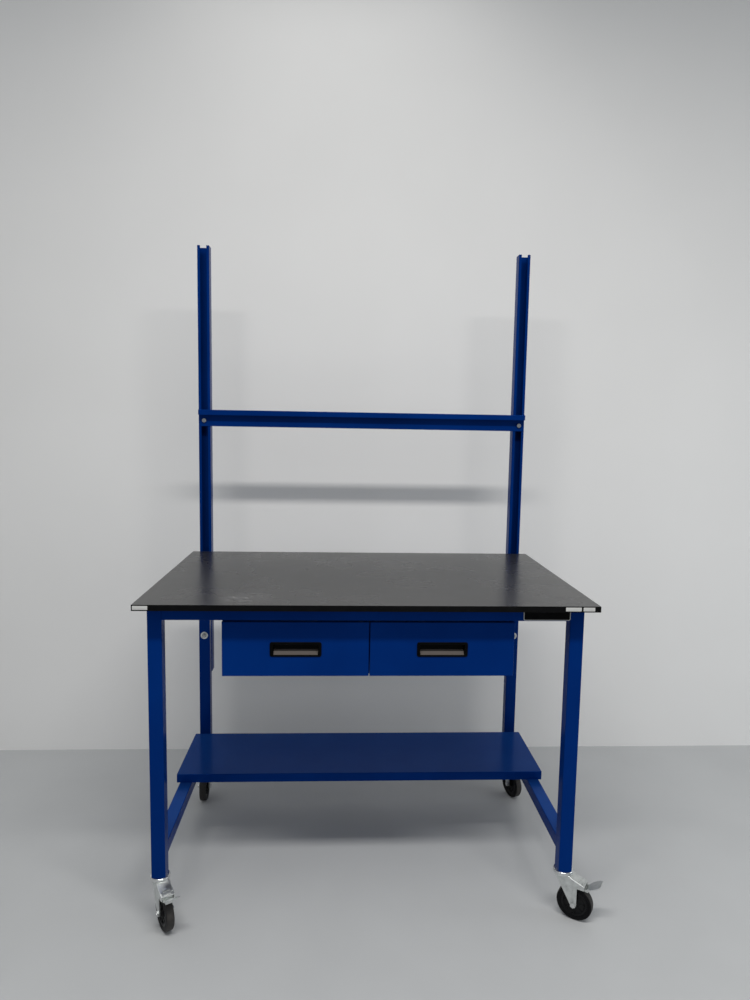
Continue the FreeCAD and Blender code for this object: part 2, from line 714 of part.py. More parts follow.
def make_drawer_front(name, side):
    """Pan-formed drawer front with a cut-out for the pull and a back flange for the screws."""
    x = drawer_centre(side)
    half = DRAWER_FRONT_WIDTH / 2
    sheet = DRAWER_FRONT_SHEET
    outer = box(x - half, x + half, FRAME_FRONT, BOX_FRONT, DRAWER_BOTTOM, DRAWER_TOP)
    rims = [e for e in outer.Edges if abs(e.CenterOfMass.y - FRAME_FRONT) < HALF]
    outer = outer.makeFillet(DRAWER_FRONT_ROUND, rims)
    hollow = box(x - half + sheet, x + half - sheet, FRAME_FRONT + sheet, BOX_FRONT - sheet,
                 DRAWER_BOTTOM + sheet, DRAWER_TOP - sheet)
    front = outer.cut(hollow).cut(pull_cutout(side))
    for place in box_screw_places(side):
        seat = place - Y_AXIS * BOX_SHEET
        front = front.cut(screw_hole(seat, Y_AXIS * -1, sheet))
    hold(f"drawer_front_{name}", front)


def pull_centre(side):
    return drawer_centre(side), DRAWER_BOTTOM + PULL_RAISE + PULL_HEIGHT / 2


def pull_cutout(side):
    """Hole in the drawer front that the pull's cup passes through."""
    x, z = pull_centre(side)
    half = PULL_WIDTH / 2 - PULL_RIM
    tall = PULL_HEIGHT / 2 - PULL_RIM
    return box(x - half, x + half, FRAME_FRONT, FRAME_FRONT + DRAWER_FRONT_SHEET, z - tall, z + tall)


def make_pull(name, side):
    """Recessed cup pull: a bezel on the front, and a cup with a sloping floor behind it."""
    x, z = pull_centre(side)
    half = PULL_WIDTH / 2
    tall = PULL_HEIGHT / 2
    rim_half = half - PULL_RIM - HOLE_CLEARANCE
    rim_tall = tall - PULL_RIM - HOLE_CLEARANCE
    cup_back = FRAME_FRONT + PULL_DEPTH
    bezel = rounded_box(x - half, x + half, FRAME_FRONT - PULL_PROUD, FRAME_FRONT,
                        z - tall, z + tall, Y_AXIS, PULL_CORNER)
    rims = [e for e in bezel.Edges if e.BoundBox.YMax < FRAME_FRONT - PULL_PROUD + THIN]
    bezel = bezel.makeFillet(PULL_EDGE_ROUND, rims)
    cup = box(x - rim_half, x + rim_half, FRAME_FRONT, cup_back, z - rim_tall, z + rim_tall)
    body = bezel.fuse(cup)
    mouth_half = half - PULL_FRAME_SIDE
    floor = z - tall + PULL_FRAME_LOW
    roof = z + tall - PULL_FRAME_HIGH
    deep = cup_back - PULL_WALL
    outline = [
        V(x - mouth_half, FRAME_FRONT - PULL_PROUD, floor),
        V(x - mouth_half, FRAME_FRONT - PULL_PROUD, roof),
        V(x - mouth_half, deep, roof),
        V(x - mouth_half, deep, floor + PULL_RAMP_RISE),
        V(x - mouth_half, FRAME_FRONT, floor),
    ]
    body = body.cut(prism(outline, X_AXIS * (2 * mouth_half)))
    hold(f"drawer_pull_{name}", body.removeSplitter())


def make_box_screws(name, side):
    """Screws from inside the drawer box into its front."""
    screws = []
    for place in box_screw_places(side):
        screws.append(pan_screw(place, Y_AXIS * -1, BOX_SHEET + DRAWER_FRONT_SHEET + HALF))
    hold(f"drawer_screws_{name}", *screws)


def make_drawers():
    for name, side in SIDES.items():
        make_housing(name, side)
        make_runners(name, side)
        make_drawer_box(name, side)
        make_drawer_front(name, side)
        make_pull(name, side)
        make_box_screws(name, side)


def swivel_stem():
    """Fixed top race with its threaded stem and the kingpin that the fork turns on."""
    race_bottom = FORK_TOP + RACE_GAP
    race = rod(RACE_RADIUS, V(0, 0, race_bottom), Z_AXIS, CASTER_HEIGHT - race_bottom)
    rims = [e for e in race.Edges if isinstance(e.Curve, Part.Circle)]
    race = race.makeFillet(RACE_ROUND, [max(rims, key=lambda e: e.CenterOfMass.z)])
    stem = rod(STEM_RADIUS, V(0, 0, CASTER_HEIGHT), Z_AXIS, INSERT_HEIGHT)
    pin_bottom = FORK_CROWN_TOP - RACE_GAP
    pin = rod(KINGPIN_RADIUS, V(0, 0, pin_bottom), Z_AXIS, race_bottom - pin_bottom)
    head = rod(KINGPIN_HEAD_RADIUS, V(0, 0, pin_bottom - KINGPIN_HEAD_HEIGHT), Z_AXIS,
               KINGPIN_HEAD_HEIGHT)
    return race.fuse([stem, pin, head]).removeSplitter()


def fork_outline():
    """Side view of the fork, from the back of the crown round the lug to the roof's end."""
    points = [V(-FORK_BACK, 0, FORK_TOP), V(-FORK_BACK, 0, FORK_TOP - FORK_CROWN_LIP)]
    for step in range(FORK_LUG_STEPS + 1):
        angle = math.radians(FORK_LUG_START + (360 - FORK_LUG_START) * step / FORK_LUG_STEPS)
        points.append(V(TRAIL + FORK_LUG_RADIUS * math.cos(angle), 0,
                        WHEEL_RADIUS + FORK_LUG_RADIUS * math.sin(angle)))
    points.append(V(TRAIL + FORK_LUG_RADIUS, 0, FORK_CHEEK_BOTTOM))
    points.append(V(FORK_ROOF_END, 0, FORK_CHEEK_BOTTOM + HALF))
    points.append(V(FORK_ROOF_END, 0, FORK_ROOF_END_TOP))
    points.append(V(FORK_BEND_U, 0, FORK_BEND_TOP))
    points.append(V(FORK_FLAT_END, 0, FORK_TOP))
    return points


def roof_height(u):
    """Height of the roof's sloping top at a distance u along the trail."""
    share = (u - FORK_BEND_U) / (FORK_ROOF_END - FORK_BEND_U)
    return FORK_BEND_TOP + share * (FORK_ROOF_END_TOP - FORK_BEND_TOP)


def is_fork_bend(edge):
    """Whether an edge is one of the long bends between the roof and a cheek."""
    centre = edge.CenterOfMass
    at_side = abs(abs(centre.y) - FORK_OUTSIDE / 2) < HALF
    return at_side and centre.z > FORK_ROOF_END_TOP and centre.x > FORK_HALF_WAY


def fork_details():
    """Pressed ribs across the roof and the two rivets beside them."""
    solids = []
    half = FORK_RIB_LENGTH / 2
    for u in FORK_RIB_PLACES:
        low = roof_height(u - half)
        high = roof_height(u + half)
        outline = [
            V(u - half, -FORK_RIB_WIDTH / 2, low - HALF),
            V(u + half, -FORK_RIB_WIDTH / 2, high - HALF),
            V(u + half, -FORK_RIB_WIDTH / 2, high + FORK_RIB_HEIGHT),
            V(u - half, -FORK_RIB_WIDTH / 2, low + FORK_RIB_HEIGHT),
        ]
        solids.append(prism(outline, Y_AXIS * FORK_RIB_WIDTH))
    for side in (-1, 1):
        foot = V(FORK_RIVET_U, side * FORK_RIVET_V, roof_height(FORK_RIVET_U) - 1)
        solids.append(rod(FORK_RIVET_RADIUS, foot, Z_AXIS, 1 + FORK_RIVET_HEIGHT))
    return solids


def caster_fork():
    """Pressed fork: two cheeks that hold the axle, and a roof that runs out over the wheel."""
    width = FORK_OUTSIDE
    shift = V(0, -width / 2, 0)
    shell = prism([p + shift for p in fork_outline()], Y_AXIS * width)
    shell = shell.makeFillet(FORK_EDGE_ROUND, [e for e in shell.Edges if is_fork_bend(e)])
    gap = FORK_INSIDE
    low = WHEEL_RADIUS - 2 * FORK_LUG_RADIUS
    start = -FORK_CROWN_RADIUS
    hollow = [
        V(start, -gap / 2, low),
        V(start, -gap / 2, FORK_CROWN_TOP),
        V(FORK_FLAT_END, -gap / 2, FORK_CROWN_TOP),
        V(FORK_BEND_U, -gap / 2, FORK_BEND_TOP - FORK_SHEET),
        V(FORK_ROOF_END, -gap / 2, FORK_ROOF_END_TOP - FORK_SHEET),
        V(FORK_ROOF_END, -gap / 2, low),
    ]
    fork = shell.cut(prism(hollow, Y_AXIS * gap))
    crown = rod(FORK_CROWN_RADIUS, V(0, 0, FORK_CROWN_TOP), Z_AXIS, FORK_SHEET)
    fork = fork.fuse([crown] + fork_details()).removeSplitter()
    fork = fork.cut(rod(KINGPIN_RADIUS + RUNNING_CLEARANCE, V(0, 0, FORK_CROWN_TOP), Z_AXIS,
                        FORK_SHEET))
    across = V(0, -width, 0)
    fork = fork.cut(rod(BORE, V(TRAIL, 0, WHEEL_RADIUS) + across, Y_AXIS, 2 * width))
    pin_hole = PEDAL_PIN_RADIUS + RUNNING_CLEARANCE
    return fork.cut(rod(pin_hole, V(PEDAL_PIVOT_U, 0, PEDAL_PIVOT_Z) + across, Y_AXIS, 2 * width))


def caster_axle():
    """Axle bolt with its nut, and the pin of the brake pedal."""
    half = FORK_OUTSIDE / 2
    seat = V(TRAIL, -half, WHEEL_RADIUS)
    bolt = hex_bolt(2 * AXLE_RADIUS, AXLE_HEAD_FLATS, AXLE_HEAD_HEIGHT, seat, Y_AXIS,
                    FORK_OUTSIDE + AXLE_HEAD_HEIGHT)
    start = V(TRAIL, half, WHEEL_RADIUS)
    nut = hexagon(AXLE_HEAD_FLATS, start, Y_AXIS, AXLE_HEAD_HEIGHT)
    nut = nut.cut(rod(AXLE_RADIUS + RUNNING_CLEARANCE, start, Y_AXIS, AXLE_HEAD_HEIGHT))
    pin = rod(PEDAL_PIN_RADIUS, V(PEDAL_PIVOT_U, -half - HALF, PEDAL_PIVOT_Z), Y_AXIS,
              FORK_OUTSIDE + 2 * HALF)
    return Part.makeCompound([bolt, nut, pin])


def caster_hub():
    """Wheel core with a thinner web and a bored boss."""
    rim = WHEEL_RADIUS - TYRE_THICKNESS
    half = WHEEL_WIDTH / 2 - TYRE_GROOVE
    centre = V(TRAIL, 0, WHEEL_RADIUS)
    hub = rod(rim, centre - Y_AXIS * half, Y_AXIS, 2 * half)
    for turn in (-1, 1):
        face = centre + Y_AXIS * (turn * (half - HUB_RECESS))
        hub = hub.cut(ring(rim - HUB_LIP, HUB_BOSS_RADIUS, face, Y_AXIS * turn, HUB_RECESS))
    boss_half = FORK_INSIDE / 2 - HUB_SIDE_GAP
    boss = rod(HUB_BOSS_RADIUS, centre - Y_AXIS * boss_half, Y_AXIS, 2 * boss_half)
    hub = hub.fuse(boss).removeSplitter()
    return hub.cut(rod(BORE, centre - Y_AXIS * FORK_INSIDE, Y_AXIS, 2 * FORK_INSIDE))


def caster_tyre():
    """Rubber tread ring with rounded shoulders."""
    start = V(TRAIL, -WHEEL_WIDTH / 2, WHEEL_RADIUS)
    tyre = rod(WHEEL_RADIUS, start, Y_AXIS, WHEEL_WIDTH)
    rims = [e for e in tyre.Edges if isinstance(e.Curve, Part.Circle)]
    tyre = tyre.makeFillet(TREAD_ROUND, rims)
    return tyre.cut(rod(WHEEL_RADIUS - TYRE_THICKNESS, start, Y_AXIS, WHEEL_WIDTH))


def pedal_outline():
    """Side view of the pedal's arm and its rising pad."""
    base = PEDAL_PIVOT_Z - PEDAL_PIN_RADIUS - PEDAL_SHEET
    line = [
        V(PEDAL_PIVOT_U, 0, base),
        V(PEDAL_ARM_FLAT, 0, base),
        V(PEDAL_PAD_START, 0, base + PEDAL_PAD_RISE),
        V(PEDAL_TIP, 0, base + PEDAL_TIP_RISE),
    ]
    upper = [p + Z_AXIS * PEDAL_SHEET for p in reversed(line)]
    return line + upper


def caster_pedal():
    """Brake pedal: a sleeve on the pin, an arm, a shoe above the tyre and a rising pad."""
    pin = V(PEDAL_PIVOT_U, 0, PEDAL_PIVOT_Z)
    base = PEDAL_PIVOT_Z - PEDAL_PIN_RADIUS - PEDAL_SHEET
    arm_half = FORK_INSIDE / 2 - PEDAL_ARM_GAP
    pad_half = PEDAL_PAD_WIDTH / 2
    top = base + PEDAL_TIP_RISE + PEDAL_SHEET
    sleeve = rod(PEDAL_PIN_RADIUS + PEDAL_SHEET, pin - Y_AXIS * arm_half, Y_AXIS, 2 * arm_half)
    plate = prism([p - Y_AXIS * pad_half for p in pedal_outline()], Y_AXIS * (2 * pad_half))
    plan = box(PEDAL_PAD_START, PEDAL_TIP, -pad_half, pad_half, base, top)
    plan = plan.makeFillet(PEDAL_PAD_ROUND, edges_along(plan, Z_AXIS))
    arm = box(PEDAL_PIVOT_U, PEDAL_PAD_START + PEDAL_PAD_ROUND, -arm_half, arm_half, base, top)
    plate = plate.common(plan.fuse(arm))
    nearest = SHOE_U - SHOE_LENGTH / 2 - TRAIL
    tyre_top = WHEEL_RADIUS + math.sqrt(WHEEL_RADIUS ** 2 - nearest ** 2)
    shoe = box(SHOE_U - SHOE_LENGTH / 2, SHOE_U + SHOE_LENGTH / 2, -SHOE_WIDTH / 2, SHOE_WIDTH / 2,
               tyre_top + SHOE_GAP, base + PEDAL_SHEET)
    pedal = sleeve.fuse([plate, shoe]).removeSplitter()
    bore = PEDAL_PIN_RADIUS + RUNNING_CLEARANCE
    return pedal.cut(rod(bore, pin - Y_AXIS * (2 * arm_half), Y_AXIS, 4 * arm_half))


def make_casters():
    moving = {
        "fork": caster_fork(),
        "axle": caster_axle(),
        "hub": caster_hub(),
        "tyre": caster_tyre(),
        "pedal": caster_pedal(),
    }
    stem = swivel_stem()
    stems = []
    for end_name, end in ENDS.items():
        for side_name, side in SIDES.items():
            where = f"{end_name}_{side_name}"
            place = FreeCAD.Placement(V(side * LEG_X, end * LEG_Y, 0),
                                      FreeCAD.Rotation(Z_AXIS, CASTER_TURN[where]))
            for part_name, shape in moving.items():
                copy = shape.copy()
                copy.Placement = place
                hold(f"caster_{where}_{part_name}", copy)
            copy = stem.copy()
            copy.Placement = place
            stems.append(copy)
    hold("caster_stems", *stems)


def main():
    make_worktop()
    make_top_screws()
    make_legs()
    make_leg_inserts()
    make_aprons()
    make_stretchers()
    make_shelf()
    make_shelf_bolts()
    make_uprights()
    make_upright_bolts()
    make_strut_nuts()
    make_ledge_rail()
    make_ledge_bolts()
    make_name_plate()
    make_drawers()
    make_casters()
    os.makedirs("parts", exist_ok=True)
    for name, shape in NODES.items():
        shape.exportStep(os.path.join("parts", f"{name}.step"))
    print(len(NODES), "nodes")


main()
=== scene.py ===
"""Mobile lab bench with drawers, lower shelf and ledge rail: finishes, fine pieces, light, camera.

Everything is in metres in the CAD frame: +X right, +Y back, +Z up, origin on the floor.
"""
import json
import math

import bmesh
import bpy
from mathutils import Matrix, Vector


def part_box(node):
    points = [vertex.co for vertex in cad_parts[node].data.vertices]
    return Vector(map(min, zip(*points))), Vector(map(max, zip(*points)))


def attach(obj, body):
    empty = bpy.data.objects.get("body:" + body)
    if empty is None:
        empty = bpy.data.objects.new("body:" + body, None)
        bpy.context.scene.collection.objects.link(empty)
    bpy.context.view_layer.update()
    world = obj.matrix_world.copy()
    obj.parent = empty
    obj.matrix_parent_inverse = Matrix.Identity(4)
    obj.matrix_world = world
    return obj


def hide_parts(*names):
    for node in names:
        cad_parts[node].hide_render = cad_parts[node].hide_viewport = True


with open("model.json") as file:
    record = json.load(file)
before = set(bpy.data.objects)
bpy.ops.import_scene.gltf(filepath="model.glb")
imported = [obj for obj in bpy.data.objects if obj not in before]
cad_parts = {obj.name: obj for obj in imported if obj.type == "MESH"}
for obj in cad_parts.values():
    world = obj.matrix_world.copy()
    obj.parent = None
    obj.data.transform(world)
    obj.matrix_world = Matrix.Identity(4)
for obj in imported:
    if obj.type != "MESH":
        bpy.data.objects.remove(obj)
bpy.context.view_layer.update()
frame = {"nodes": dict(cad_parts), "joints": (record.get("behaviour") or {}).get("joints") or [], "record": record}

NODES = frame["nodes"]
SIDES = ("left", "right")
CORNERS = ("front_left", "front_right", "rear_left", "rear_right")


# --- Node trees ---

# Nearly all of a noise's values lie in this span.
NOISE_SPAN = (0.3, 0.7)

# How far the roughness of a moulding or a plating drifts to either side of its value.
GLOSSIER = 0.05
DULLER = 0.08


class Shade:
    """A material's node tree, with short ways to add the nodes that the finishes share."""

    def __init__(self, name):
        self.material = bpy.data.materials.new(name)
        self.material.use_nodes = True
        self.tree = self.material.node_tree
        self.nodes = self.tree.nodes
        self.links = self.tree.links
        self.shader = self.nodes["Principled BSDF"]
        self.coordinates = self.nodes.new("ShaderNodeTexCoord")

    def link(self, source, target):
        """Joins one node's output to another node's input."""
        self.links.new(source, target)

    def noise(self, scale, detail=2.0, roughness=0.5, distortion=0.0, stretch=None):
        """Noise per metre of the object, with its own stretch along each axis."""
        node = self.nodes.new("ShaderNodeTexNoise")
        node.inputs["Scale"].default_value = scale
        node.inputs["Detail"].default_value = detail
        node.inputs["Roughness"].default_value = roughness
        node.inputs["Distortion"].default_value = distortion
        source = self.coordinates.outputs["Object"]
        if stretch:
            mapping = self.nodes.new("ShaderNodeMapping")
            mapping.inputs["Scale"].default_value = stretch
            self.link(source, mapping.inputs["Vector"])
            source = mapping.outputs["Vector"]
        self.link(source, node.inputs["Vector"])
        return node.outputs["Fac"]

    def between(self, value, low, high, to_low=0.0, to_high=1.0, smooth=False):
        """The value's range low to high, mapped to another range."""
        node = self.nodes.new("ShaderNodeMapRange")
        node.interpolation_type = "SMOOTHSTEP" if smooth else "LINEAR"
        self.link(value, node.inputs["Value"])
        numbers = (("From Min", low), ("From Max", high), ("To Min", to_low), ("To Max", to_high))
        for socket, number in numbers:
            node.inputs[socket].default_value = number
        return node.outputs["Result"]

    def drift(self, low, high, scale, detail=2.0, roughness=0.5):
        """A value that drifts between two numbers with a noise."""
        return self.between(self.noise(scale, detail, roughness), *NOISE_SPAN, low, high)

    def gloss(self, rough, scale):
        """Patches of different gloss round one roughness."""
        return self.drift(rough - GLOSSIER, rough + DULLER, scale, 3.0)

    def facing_up(self):
        """One on faces that look up, and nothing on upright or hanging ones."""
        geometry = self.nodes.new("ShaderNodeNewGeometry")
        split = self.nodes.new("ShaderNodeSeparateXYZ")
        self.link(geometry.outputs["Normal"], split.inputs["Vector"])
        return self.between(split.outputs["Z"], 0.75, 0.98, smooth=True)

    def math(self, operation, first, second=None, clamp=False):
        """A sum, product or other operation on numbers or other nodes' outputs."""
        node = self.nodes.new("ShaderNodeMath")
        node.operation = operation
        node.use_clamp = clamp
        for socket, value in zip(node.inputs, (first, second)):
            if value is None:
                continue
            if isinstance(value, (int, float)):
                socket.default_value = value
            else:
                self.link(value, socket)
        return node.outputs["Value"]

    def mix(self, factor, first, second):
        """A colour between two colours, each a triple or another node's output."""
        node = self.nodes.new("ShaderNodeMix")
        node.data_type = "RGBA"
        self.link(factor, node.inputs["Factor"])
        for socket, colour in ((node.inputs[6], first), (node.inputs[7], second)):
            if isinstance(colour, tuple):
                socket.default_value = (*colour, 1.0)
            else:
                self.link(colour, socket)
        return node.outputs[2]

    def bump(self, height, strength, distance, after=None):
        """Relief from a height, on top of another relief where one is given."""
        node = self.nodes.new("ShaderNodeBump")
        node.inputs["Strength"].default_value = strength
        node.inputs["Distance"].default_value = distance
        self.link(height, node.inputs["Height"])
        if after is not None:
            self.link(after, node.inputs["Normal"])
        return node.outputs["Normal"]

    def finish(self, colour, roughness, normal, **fixed):
        """Joins the shader up, sets its fixed sockets and returns the material."""
        self.link(colour, self.shader.inputs["Base Color"])
        self.link(roughness, self.shader.inputs["Roughness"])
        self.link(normal, self.shader.inputs["Normal"])
        for name, value in fixed.items():
            self.shader.inputs[name.replace("_", " ")].default_value = value
        return self.material


# --- Finishes ---

def blue_paint():
    """Glossy royal-blue powder coat: orange peel, faint clouding, nibs, and painted light, a paler blue on top
    faces.
    """
    deep = (0.0002, 0.0225, 0.152)
    clear = (0.0003, 0.0270, 0.178)
    dust_and_top_light = (0.0085, 0.0530, 0.240)
    pale = (0.03, 0.07, 0.22)
    s = Shade("blue_powder_coat")
    colour = s.mix(s.between(s.noise(5.0, 3.0), 0.35, 0.65), deep, clear)
    # Painted light: top faces get a paler blue, in patches, as if lit from above.
    patchiness = s.between(s.noise(9.0, 3.0, 0.6), 0.25, 0.75, 0.75, 1.0)
    colour = s.mix(s.math("MULTIPLY", patchiness, s.facing_up()), colour, dust_and_top_light)
    nib = s.between(s.noise(260.0, 1.0), 0.74, 0.80, smooth=True)
    colour = s.mix(s.math("MULTIPLY", nib, 0.15), colour, pale)
    rough = s.drift(0.15, 0.23, 38.0, 3.0)
    peel = s.bump(s.noise(330.0, 1.5), 0.07, 0.00022)
    relief = s.bump(nib, 0.12, 0.0002, peel)
    return s.finish(colour, rough, relief, Specular_IOR_Level=0.025, Metallic=0.15)


# Centre, reach and turn of each patch of rub marks on the worktop.
SCUFFS = (
    ((-0.325, -0.335), (0.085, 0.075), 0.35),
    ((-0.345, 0.182), (0.045, 0.020), 0.1),
)
SCUFF_LINE = 0.050


def scuff(s, centre, reach, turn):
    """Thin pale rub lines that fade out of a patch on the worktop."""
    mapping = s.nodes.new("ShaderNodeMapping")
    mapping.vector_type = "TEXTURE"
    mapping.inputs["Location"].default_value = (*centre, 0.0)
    mapping.inputs["Rotation"].default_value = (0.0, 0.0, turn)
    mapping.inputs["Scale"].default_value = (*reach, 1.0)
    s.link(s.coordinates.outputs["Object"], mapping.inputs["Vector"])
    flat = s.nodes.new("ShaderNodeVectorMath")
    flat.operation = "MULTIPLY"
    flat.inputs[1].default_value = (1.0, 1.0, 0.0)
    s.link(mapping.outputs["Vector"], flat.inputs[0])
    length = s.nodes.new("ShaderNodeVectorMath")
    length.operation = "LENGTH"
    s.link(flat.outputs["Vector"], length.inputs[0])
    patch = s.between(length.outputs["Value"], 0.45, 1.0, 1.0, 0.0, smooth=True)
    streaks = s.noise(24.0, 1.5, distortion=0.35, stretch=(0.75, 6.0, 0.0))
    from_middle = s.math("ABSOLUTE", s.math("SUBTRACT", streaks, 0.5))
    line = s.between(from_middle, 0.0, SCUFF_LINE, 1.0, 0.0)
    broken = s.between(s.noise(120.0), 0.36, 0.56)
    return s.math("MULTIPLY", patch, s.math("MULTIPLY", line, broken))


def worktop_charcoal():
    """Fine matt charcoal laminate with rub marks, small specks and a faint drift in its gloss."""
    dark = (0.0200, 0.0194, 0.0190)
    light = (0.0240, 0.0234, 0.0228)
    grey = (0.032, 0.032, 0.032)
    rubbed = (0.26, 0.26, 0.26)
    fleck = (0.10, 0.10, 0.10)
    s = Shade("charcoal_laminate")
    colour = s.mix(s.drift(0.0, 1.0, 3.2, 3.0), dark, light)
    grain = s.between(s.noise(900.0, 2.0, 0.7), 0.35, 0.65)
    colour = s.mix(s.math("MULTIPLY", grain, 0.10), colour, grey)
    marks = s.math("ADD", *(scuff(s, *patch) for patch in SCUFFS))
    colour = s.mix(s.math("MULTIPLY", marks, 0.75, clamp=True), colour, rubbed)
    speck = s.between(s.noise(70.0, 0.0), 0.80, 0.83, 0.0, 0.6)
    colour = s.mix(speck, colour, fleck)
    rough = s.drift(0.265, 0.290, 7.0)
    relief = s.bump(s.noise(1100.0, 1.0), 0.003, 0.00005)
    return s.finish(colour, rough, relief, Specular_IOR_Level=0.44)


def metal(name, low, high, rough, peel=0.10, stain=0.5):
    """Plated steel: a mottled tone, dull spots, faint drawn lines and patches of different gloss."""
    s = Shade(name)
    colour = s.mix(s.drift(0.0, 1.0, 60.0, 4.0, 0.6), low, high)
    spot = s.between(s.noise(190.0), 0.66, 0.74, 0.0, stain)
    dull = tuple(0.6 * part for part in low)
    colour = s.mix(spot, colour, dull)
    lines = s.noise(700.0, 2.0, 0.6, stretch=(1.0, 1.0, 0.25))
    relief = s.bump(lines, peel, 0.0001)
    return s.finish(colour, s.gloss(rough, 45.0), relief, Metallic=1.0)


def plastic(name, base, rough, grain, scale, dust_and_top_light=0.15, shine=0.45, dust=(0.05, 0.05, 0.05)):
    """Moulded plastic, rubber or paper: a fine grain, uneven gloss and a little dust."""
    s = Shade(name)
    patchiness = s.between(s.noise(30.0, 4.0, 0.65), 0.42, 0.75, 0.0, dust_and_top_light)
    colour = s.mix(patchiness, base, dust)
    relief = s.bump(s.noise(scale, 2.0, 0.6), grain, 0.00012)
    return s.finish(colour, s.gloss(rough, 60.0), relief, Specular_IOR_Level=shine)


def stage_paint(name, low, high, rough, grain, scale):
    """Plain pale surface for the floor or the wall, with a fine texture."""
    s = Shade(name)
    colour = s.mix(s.drift(0.0, 1.0, 2.5, 3.0), low, high)
    gloss = s.drift(rough, rough + 0.1, 20.0)
    relief = s.bump(s.noise(scale, 3.0, 0.6), grain, 0.001)
    return s.finish(colour, gloss, relief)


BLUE = blue_paint()
CHARCOAL = worktop_charcoal()
ZINC = metal("zinc_plate", (0.56, 0.58, 0.57), (0.74, 0.76, 0.75), 0.36)
BRIGHT_ZINC = metal("bright_zinc", (0.62, 0.63, 0.63), (0.78, 0.79, 0.79), 0.20)
BOLT_ZINC = metal("bolt_zinc", (0.30, 0.31, 0.32), (0.44, 0.45, 0.46), 0.26)
STEEL = metal("runner_steel", (0.54, 0.55, 0.56), (0.62, 0.63, 0.64), 0.30, peel=0.025, stain=0.15)
TREAD = plastic("tyre_tread", (0.026, 0.024, 0.023), 0.55, 0.35, 500.0, dust_and_top_light=0.55, shine=0.25,
                dust=(0.085, 0.078, 0.072))
TYRE_SIDE = plastic("tyre_side", (0.0032, 0.0032, 0.0042), 0.42, 0.20, 700.0, dust_and_top_light=0.08, shine=0.12)
HUB = plastic("hub_nylon", (0.0050, 0.0050, 0.0060), 0.38, 0.20, 800.0, dust_and_top_light=0.10, shine=0.18)
CORE = plastic("worktop_core", (0.0035, 0.0035, 0.0038), 0.42, 0.10, 700.0, dust_and_top_light=0.04, shine=0.06)
PULL = plastic("pull_moulding", (0.0012, 0.0012, 0.0013), 0.36, 0.22, 1200.0, dust_and_top_light=0.03, shine=0.05)
# Painted light: the paler colour on the pull's ramp, where it faces up to the light.
LIT_RAMP = plastic("pull_ramp_painted_light", (0.100, 0.086, 0.079), 0.45, 0.25, 1000.0, dust_and_top_light=0.10, shine=0.10)
PLATE = plastic("plate_black", (0.0020, 0.0020, 0.0022), 0.30, 0.06, 600.0, dust_and_top_light=0.04, shine=0.05)
PLATE_EDGE = plastic("plate_border", (0.42, 0.43, 0.43), 0.35, 0.06, 600.0, dust_and_top_light=0.05)
LABEL = plastic("label_paper", (0.54, 0.54, 0.525), 0.55, 0.05, 900.0, shine=0.2,
                dust=(0.42, 0.41, 0.39))

SLOT_MATERIALS = {
    "worktop_charcoal": CHARCOAL,
    "blue_paint": BLUE,
    "zinc": STEEL,
    "tyre_black": TYRE_SIDE,
    "hub_black": HUB,
    "pull_black": PULL,
    "plate_black": PLATE,
}


def dress_nodes():
    """Gives every CAD node the finish of its material slot."""
    for part in frame["record"]["subparts"]:
        slots = NODES[part["node"]].data.materials
        slots.clear()
        slots.append(SLOT_MATERIALS[part["material_slot"]])


# --- Mesh helpers ---

# Points closer than this are one point: FINE in a shape made here, COARSE in a CAD mesh.
FINE = 1e-6
COARSE = 2e-6

# Edges that turn by more degrees than these stay sharp.
SHARP = 35.0
PRESSED_SHARP = 38.0
TURNED_SHARP = 28.0
MOULDED_SHARP = 30.0
WELD_SHARP = 60.0


def piece_from(name, form, body, materials, nodes=(), sharp=SHARP):
    """Turns a bmesh into a piece that rides on its body and stands for its nodes."""
    mesh = bpy.data.meshes.new(name)
    bmesh.ops.recalc_face_normals(form, faces=form.faces)
    form.to_mesh(mesh)
    form.free()
    for material in materials:
        mesh.materials.append(material)
    mesh.shade_smooth()
    mesh.set_sharp_from_angle(angle=math.radians(sharp))
    piece = bpy.data.objects.new(name, mesh)
    bpy.context.scene.collection.objects.link(piece)
    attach(piece, body)
    if nodes:
        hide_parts(*nodes)
    return piece


def merge_points(form, reach=FINE):
    """Makes one point of points that fall together."""
    bmesh.ops.remove_doubles(form, verts=form.verts, dist=reach)


def cover(form, ring):
    """One flat face over a ring, to be joined to it by merge_points."""
    form.faces.new([form.verts.new(point) for point in ring])


def loft(form, rings, material=0, caps=(False, False), joined=False):
    """Skins a run of point rings, and caps or joins its ends where asked. Returns the faces."""
    rows = [[form.verts.new(point) for point in ring] for ring in rings]
    following = rows[1:] + rows[:1] if joined else rows[1:]
    count = len(rows[0])
    faces = []
    for low, high in zip(rows, following):
        for i in range(count):
            j = (i + 1) % count
            faces.append(form.faces.new((low[i], low[j], high[j], high[i])))
    if caps[0]:
        faces.append(form.faces.new(rows[0][::-1]))
    if caps[1]:
        faces.append(form.faces.new(rows[-1]))
    for face in faces:
        face.material_index = material
    return faces


def frame_at(origin, axis, across=None):
    """A matrix whose local Z runs along an axis."""
    axis = Vector(axis).normalized()
    side = Vector(across) if across else axis.orthogonal()
    side = (side - axis * side.dot(axis)).normalized()
    turn = Matrix((side, axis.cross(side), axis)).transposed().to_4x4()
    return Matrix.Translation(Vector(origin)) @ turn


def quarter_turn(steps):
    """Angles from nothing to a right angle."""
    return [math.pi / 2 * i / steps for i in range(steps + 1)]


def circle(radius, steps):
    """Points round a circle in a plane."""
    turns = (2 * math.pi * i / steps for i in range(steps))
    return [(radius * math.cos(turn), radius * math.sin(turn)) for turn in turns]


def lathe(form, place, profile, steps, hollow=False):
    """Turns a profile of (radius, height) about the local Z of a place.

    A hollow one's profile is a section that closes on itself. The other kind gets flat ends.
    """
    rings = [[place @ Vector((x, y, height)) for x, y in circle(radius, steps)]
             for radius, height in profile]
    return loft(form, rings, caps=(not hollow, not hollow), joined=hollow)


